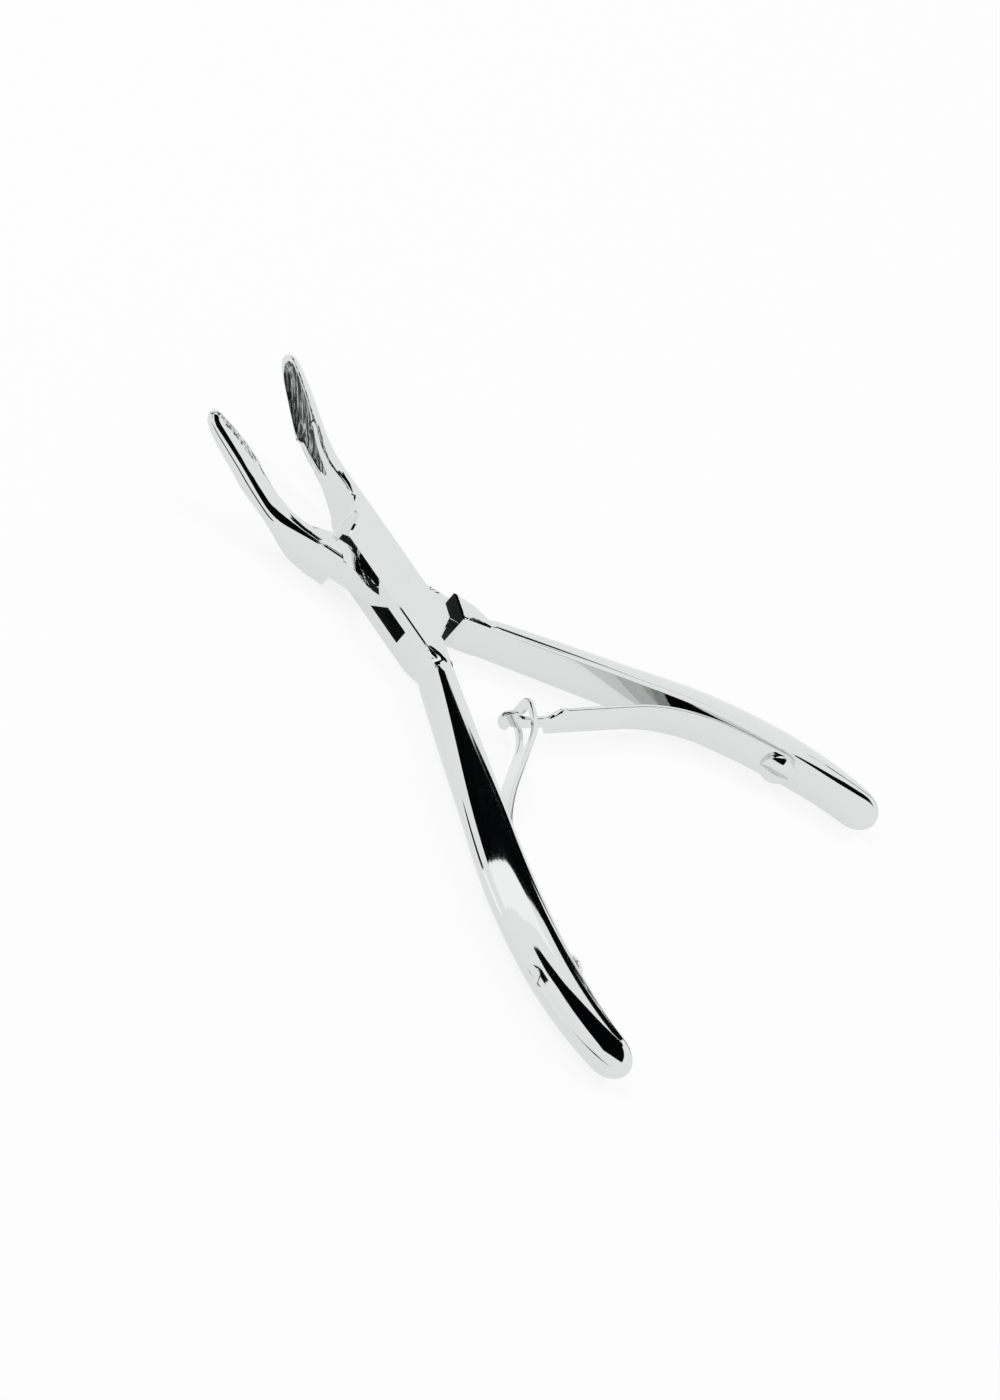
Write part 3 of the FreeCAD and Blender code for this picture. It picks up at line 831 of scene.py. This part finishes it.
def slot_cutter(low, high, height, corner):
    """A punch with rounded corners through the blank."""
    bpy.ops.object.select_all(action="DESELECT")
    bpy.ops.mesh.primitive_cube_add(
        size=1.0, location=((low + high) / 2 * MM, 0, 0),
        scale=((high - low) * MM, 4 * LEAF_THICKNESS * MM, height * MM))
    obj = bpy.context.active_object
    place_in_mesh(obj)
    select_edges(obj, lambda edge: abs(
        edge.verts[0].co.y - edge.verts[1].co.y) > LEAF_THICKNESS * MM)
    bpy.ops.mesh.bevel(offset=corner * MM, segments=12, affect="EDGES")
    bpy.ops.object.mode_set(mode="OBJECT")
    return obj


def bend_to_path(obj, path, side):
    """Score the blank across every step of its length, then lay it along the path. The leaf is
    drawn at +Y, and side -1 puts it on the other handle."""
    step = bpy.context.scene.rongeur_leaf.bend_step / MM
    count = int(path.length() / step)
    only(obj)
    bpy.ops.object.mode_set(mode="EDIT")
    for number in range(1, count):
        bpy.ops.mesh.select_all(action="SELECT")
        bpy.ops.mesh.bisect(plane_co=(number * step * MM, 0, 0), plane_no=(1, 0, 0))
    bpy.ops.object.mode_set(mode="OBJECT")
    turn = Matrix.Rotation(HALF_OPENING * side, 4, "Z")
    for vertex in obj.data.vertices:
        along, offset, width = vertex.co / MM
        place, heading = path.at(along)
        x = place.x - math.sin(heading) * offset
        y = place.y + math.cos(heading) * offset
        vertex.co = turn @ (Vector((x, y * side, width + HALF_HEIGHT)) * MM)
    edited(obj, lambda: bpy.ops.mesh.normals_make_consistent(inside=False))


def finish_leaf(obj, path, side, edge_round):
    """Break the blank's edges, bend it, and shade it smooth between its edges."""
    apply_modifier(obj, "BEVEL", width=edge_round, segments=3, limit_method="ANGLE",
                   angle_limit=CRISP_ANGLE, use_clamp_overlap=True)
    bend_to_path(obj, path, side)
    shade_between_edges(obj, PIECE_SHADE_ANGLE)


def tongue_leaf(edge_round):
    """The leaf whose narrow neck passes through the window and ends in a T head."""
    path = LeafPath(TONGUE_FREE_X)
    bend = TONGUE_SLOPE - path.free_slope
    path.go(TONGUE_BEND_RADIUS * bend, bend)
    path.go(TONGUE_STRAIGHT)
    shoulder = path.length()
    end = shoulder + TONGUE_NECK_LENGTH + TONGUE_HEAD_LENGTH
    path.go(TONGUE_NECK_LENGTH + TONGUE_HEAD_LENGTH - TONGUE_CURL_LENGTH)
    path.go(TONGUE_CURL_LENGTH, -TONGUE_CURL)
    half, neck, head = TONGUE_WIDTH / 2, TONGUE_NECK_WIDTH / 2, TONGUE_HEAD_WIDTH / 2
    slant = TONGUE_SHOULDER_SLANT * (TONGUE_WIDTH - TONGUE_NECK_WIDTH)
    hip = shoulder + TONGUE_NECK_LENGTH
    upper = arc_points((LEAF_HEEL, 0), HEEL_RADIUS, math.pi, math.pi / 2, 16)
    upper += [(shoulder - slant, half), (shoulder, neck), (hip, neck), (hip, head)]
    upper += arc_points((end - head, 0), head, math.pi / 2, 0, 14)
    lower = [(along, -width) for along, width in reversed(upper[1:-1])]
    blank = flat_blank("tongue_spring_leaf", upper + lower, [round_cutter(LEAF_HEEL, HOLE_RADIUS)])
    finish_leaf(blank, path, 1, edge_round)
    return blank


def window_leaf(edge_round):
    """The leaf with a window in its curled, round cornered head."""
    path = LeafPath(WINDOW_FREE_X)
    bend = WINDOW_FIRST_SLOPE - path.free_slope
    path.go(WINDOW_FIRST_RADIUS * bend, bend)
    bend = WINDOW_SLOPE - WINDOW_FIRST_SLOPE
    path.go(WINDOW_BEND_RADIUS * bend, bend)
    path.go(WINDOW_STRAIGHT)
    curl_start = path.length()
    path.go(WINDOW_CURL_RADIUS * WINDOW_CURL, -WINDOW_CURL)
    end = path.length()
    half = WINDOW_WIDTH / 2
    heel_angle = math.asin(half / HEEL_RADIUS)
    upper = arc_points((LEAF_HEEL, 0), HEEL_RADIUS, math.pi, math.pi - heel_angle, 14)
    upper += arc_points((end - LEAF_CORNER, half - LEAF_CORNER), LEAF_CORNER, math.pi / 2, 0, 10)
    lower = [(along, -width) for along, width in reversed(upper[1:])]
    openings = [
        round_cutter(LEAF_HEEL, HOLE_RADIUS),
        slot_cutter(curl_start - WINDOW_START, end - WINDOW_END, WINDOW_HEIGHT, WINDOW_CORNER),
    ]
    blank = flat_blank("window_spring_leaf", upper + lower, openings)
    finish_leaf(blank, path, -1, edge_round)
    return blank


# Settings that a user would change


class RongeurSteel(bpy.types.PropertyGroup):
    """The polished steel of the halves, springs and screws."""

    colour: bpy.props.StringProperty(
        name="Steel colour", description="Polished steel as sRGB hex", default="#DFE1E0")
    roughness: bpy.props.FloatProperty(
        name="Roughness", description="Haze that polishing leaves", default=0.045, min=0.0,
        max=1.0, subtype="FACTOR")
    edge_round: bpy.props.FloatProperty(
        name="Edge rounding", description="How far polishing rounds the box's crisp edges",
        default=0.3 * MM, min=0.0, unit="LENGTH")
    screw_edge_round: bpy.props.FloatProperty(
        name="Screw edge rounding", description="How far a screw's edges are rounded",
        default=0.25 * MM, min=0.0, unit="LENGTH")
    pin_edge_round: bpy.props.FloatProperty(
        name="Pin edge rounding", description="How far the flush pin's edges are rounded",
        default=0.01 * MM, min=0.0, unit="LENGTH")


class RongeurLeaf(bpy.types.PropertyGroup):
    """The leaf springs."""

    edge_round: bpy.props.FloatProperty(
        name="Leaf edge rounding", description="How far a leaf's edges are broken",
        default=0.18 * MM, min=0.0, unit="LENGTH")
    bend_step: bpy.props.FloatProperty(
        name="Bend step", description="Distance between the lines along which a leaf bends",
        default=0.8 * MM, min=0.0002, unit="LENGTH")


class RongeurStage(bpy.types.PropertyGroup):
    """The studio around the instrument."""

    floor_size: bpy.props.FloatProperty(
        name="Floor size", description="Side of the square floor", default=3.0, unit="LENGTH")
    card_distance: bpy.props.FloatProperty(
        name="Card distance", description="How far away the cards stand", default=1.5,
        unit="LENGTH")
    window_strength: bpy.props.FloatProperty(
        name="Light window", description="How much brighter the light window is than white",
        default=1.15, min=0.0)


# Operators


def steel(name):
    settings = bpy.context.scene.rongeur_steel
    return bpy.data.materials.get(name) or polished_steel(
        name, settings.colour, settings.roughness)


def half_materials():
    """A half's three materials: polished, then the stone ground one, then the black painted shade for
    the slot and shoulders.
    """
    colour = bpy.context.scene.rongeur_steel.colour
    return (steel("mirror_polished_forged_steel"),
            bpy.data.materials.get("stone_ground_steel")
            or ground_steel("stone_ground_steel", colour),
            bpy.data.materials.get("painted_shade_black") or painted_shade_material("painted_shade_black"))


class RONGEUR_OT_halves(bpy.types.Operator):
    """Finish both forged halves and the riveted pin from their solids"""

    bl_idname = "rongeur.halves"
    bl_label = "Finish the halves"

    def execute(self, context):
        edge_round = context.scene.rongeur_steel.edge_round
        for name, side in (("box_half", -1), ("tang_half", 1)):
            obj = forged_half(name, name + "_polished", side, edge_round)
            body = name.replace("half", "body")
            finish_piece(obj, (), name + "_steel", body, name)
        pin = finished_solid("pivot_pin", "pivot_pin_flush",
                             context.scene.rongeur_steel.pin_edge_round)
        finish_piece(pin, [steel("mirror_polished_forged_steel")], "pin_steel", "box_body",
                     "pivot_pin")
        return {"FINISHED"}


class RONGEUR_OT_leaf_springs(bpy.types.Operator):
    """Cut both leaf springs and bend them to their paths"""

    bl_idname = "rongeur.leaf_springs"
    bl_label = "Bend the leaf springs"

    def execute(self, context):
        edge_round = context.scene.rongeur_leaf.edge_round
        tongue = tongue_leaf(edge_round)
        window = window_leaf(edge_round)
        spring_steel = [steel("polished_spring_steel")]
        finish_piece(tongue, spring_steel, "spring_steel", None, "tongue_spring")
        finish_piece(window, spring_steel, "spring_steel", None, "window_spring")
        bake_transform(tongue)
        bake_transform(window)
        return {"FINISHED"}


class RONGEUR_OT_screws(bpy.types.Operator):
    """Finish the two slotted screws from their solids"""

    bl_idname = "rongeur.screws"
    bl_label = "Finish the screws"

    def execute(self, context):
        edge_round = context.scene.rongeur_steel.screw_edge_round
        for leaf, body in (("window_spring", "box_body"), ("tongue_spring", "tang_body")):
            node = leaf + "_screw"
            obj = finished_solid(node, node + "_polished", edge_round)
            finish_piece(obj, [steel("turned_polished_screw_steel")], "screw_steel", body, node)
        return {"FINISHED"}


def direction(azimuth, elevation):
    """A direction from the instrument. Azimuth 0 is towards the camera's side, 90 towards +X."""
    a, e = math.radians(azimuth), math.radians(elevation)
    return Vector((math.sin(a) * math.cos(e), -math.cos(a) * math.cos(e), math.sin(e)))


def studio_card(name, near, far, distance, colour, strength):
    """A card seen in the metal, between two borders given as azimuths and elevations."""
    bpy.ops.object.select_all(action="DESELECT")
    bpy.ops.mesh.primitive_grid_add(x_subdivisions=len(near) - 1, y_subdivisions=1, size=2.0)
    obj = bpy.context.active_object
    obj.name = name
    for vertex in obj.data.vertices:
        border = near if vertex.co.y < 0 else far
        number = round((vertex.co.x + 1) / 2 * (len(near) - 1))
        vertex.co = direction(*border[number]) * distance
    obj.data.materials.append(glow(name, colour, strength))
    obj.visible_camera = False
    obj.visible_diffuse = False
    obj.visible_shadow = False
    obj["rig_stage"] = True
    return obj


class RONGEUR_OT_stage(bpy.types.Operator):
    """Set the floor, the cards and lamps, the world and the camera"""

    bl_idname = "rongeur.stage"
    bl_label = "Set the stage"

    def execute(self, context):
        settings = context.scene.rongeur_stage
        self.lay_floor(settings.floor_size)
        self.stand_cards(settings)
        self.hang_lamps()
        self.light_world(context.scene)
        self.place_camera(context.scene)
        context.scene.view_settings.view_transform = "Standard"
        return {"FINISHED"}

    def lay_floor(self, size):
        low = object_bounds()[0]
        bpy.ops.object.select_all(action="DESELECT")
        bpy.ops.mesh.primitive_plane_add(size=size, location=(0, 0, low.z))
        floor = bpy.context.active_object
        floor.name = "studio_floor"
        material, tree = bare_material("white_acrylic_floor")
        share = add_node(tree, "ShaderNodeMath", {"operation": "MULTIPLY"}, i0=seen_directly(tree),
                         i1=FLOOR_GLOW)
        white = add_node(tree, "ShaderNodeEmission", Color=linear(WHITE), Strength=1.0)
        matt = add_node(tree, "ShaderNodeBsdfDiffuse", Color=linear("#F4F4F4"))
        mixed = add_node(tree, "ShaderNodeMixShader", i0=share.outputs[0],
                         i1=matt.outputs[0], i2=white.outputs[0])
        add_node(tree, "ShaderNodeOutputMaterial", Surface=mixed.outputs[0])
        floor.data.materials.append(material)
        floor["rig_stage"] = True

    def stand_cards(self, settings):
        for name, near, far in STUDIO_CARDS:
            light = name == LIGHT_WINDOW
            studio_card(name, near, far, settings.card_distance, WHITE if light else BLACK,
                        settings.window_strength if light else 1.0)

    def hang_lamps(self):
        for name, place, size, power in LAMPS:
            bpy.ops.object.light_add(type="AREA", location=place)
            lamp = bpy.context.active_object
            lamp.name = name
            lamp.data.size = size
            lamp.data.energy = power
            lamp.rotation_euler = (-Vector(place)).to_track_quat("-Z", "Y").to_euler()
            lamp.visible_glossy = False
            lamp.visible_camera = False
            lamp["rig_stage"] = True

    def light_world(self, scene):
        world = bpy.data.worlds.new("white_studio")
        scene.world = world
        world.use_nodes = True
        tree = world.node_tree
        tree.nodes.clear()
        strength = add_node(tree, "ShaderNodeMapRange", Value=seen_directly(tree), To_Min=WORLD_LIGHT,
                            To_Max=1.0)
        white = add_node(tree, "ShaderNodeBackground", Color=linear(WHITE),
                         Strength=strength.outputs[0])
        add_node(tree, "ShaderNodeOutputWorld", Surface=white.outputs[0])

    def place_camera(self, scene):
        bpy.ops.object.camera_add(location=CAMERA_PLACE)
        camera = bpy.context.active_object
        camera.name = "photograph_camera"
        back = CAMERA_RIGHT.cross(CAMERA_UP)
        axes = Matrix((CAMERA_RIGHT, CAMERA_UP, back)).transposed()
        camera.matrix_world = Matrix.Translation(CAMERA_PLACE) @ axes.to_4x4()
        camera.data.lens = CAMERA_LENS
        camera.data.sensor_width = 36.0
        camera.data.clip_start = 0.01
        camera.data.clip_end = 100.0
        scene.camera = camera


class RONGEUR_PT_sidebar(bpy.types.Panel):
    """The rongeur's settings and steps"""

    bl_idname = "RONGEUR_PT_sidebar"
    bl_label = "Bone rongeur"
    bl_space_type = "VIEW_3D"
    bl_region_type = "UI"
    bl_category = "Rongeur"

    def draw(self, context):
        scene = context.scene
        steel_box = self.layout.box()
        for name in ("colour", "roughness", "edge_round", "screw_edge_round", "pin_edge_round"):
            steel_box.prop(scene.rongeur_steel, name)
        leaf_box = self.layout.box()
        for name in ("edge_round", "bend_step"):
            leaf_box.prop(scene.rongeur_leaf, name)
        stage_box = self.layout.box()
        for name in ("floor_size", "card_distance", "window_strength"):
            stage_box.prop(scene.rongeur_stage, name)
        for step in STEPS:
            self.layout.operator(step.bl_idname)


STEPS = (RONGEUR_OT_halves, RONGEUR_OT_leaf_springs, RONGEUR_OT_screws, RONGEUR_OT_stage)
GROUPS = (("rongeur_steel", RongeurSteel), ("rongeur_leaf", RongeurLeaf),
          ("rongeur_stage", RongeurStage))


def register():
    for name, group in GROUPS:
        bpy.utils.register_class(group)
        setattr(bpy.types.Scene, name, bpy.props.PointerProperty(type=group))
    for cls in STEPS + (RONGEUR_PT_sidebar,):
        bpy.utils.register_class(cls)


def unregister():
    for cls in reversed(STEPS + (RONGEUR_PT_sidebar,)):
        bpy.utils.unregister_class(cls)
    for name, group in reversed(GROUPS):
        delattr(bpy.types.Scene, name)
        bpy.utils.unregister_class(group)


def main():
    register()
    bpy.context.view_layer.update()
    bpy.ops.rongeur.halves()
    bpy.ops.rongeur.leaf_springs()
    bpy.ops.rongeur.screws()
    bpy.ops.rongeur.stage()


if __name__ == "__main__":
    main()
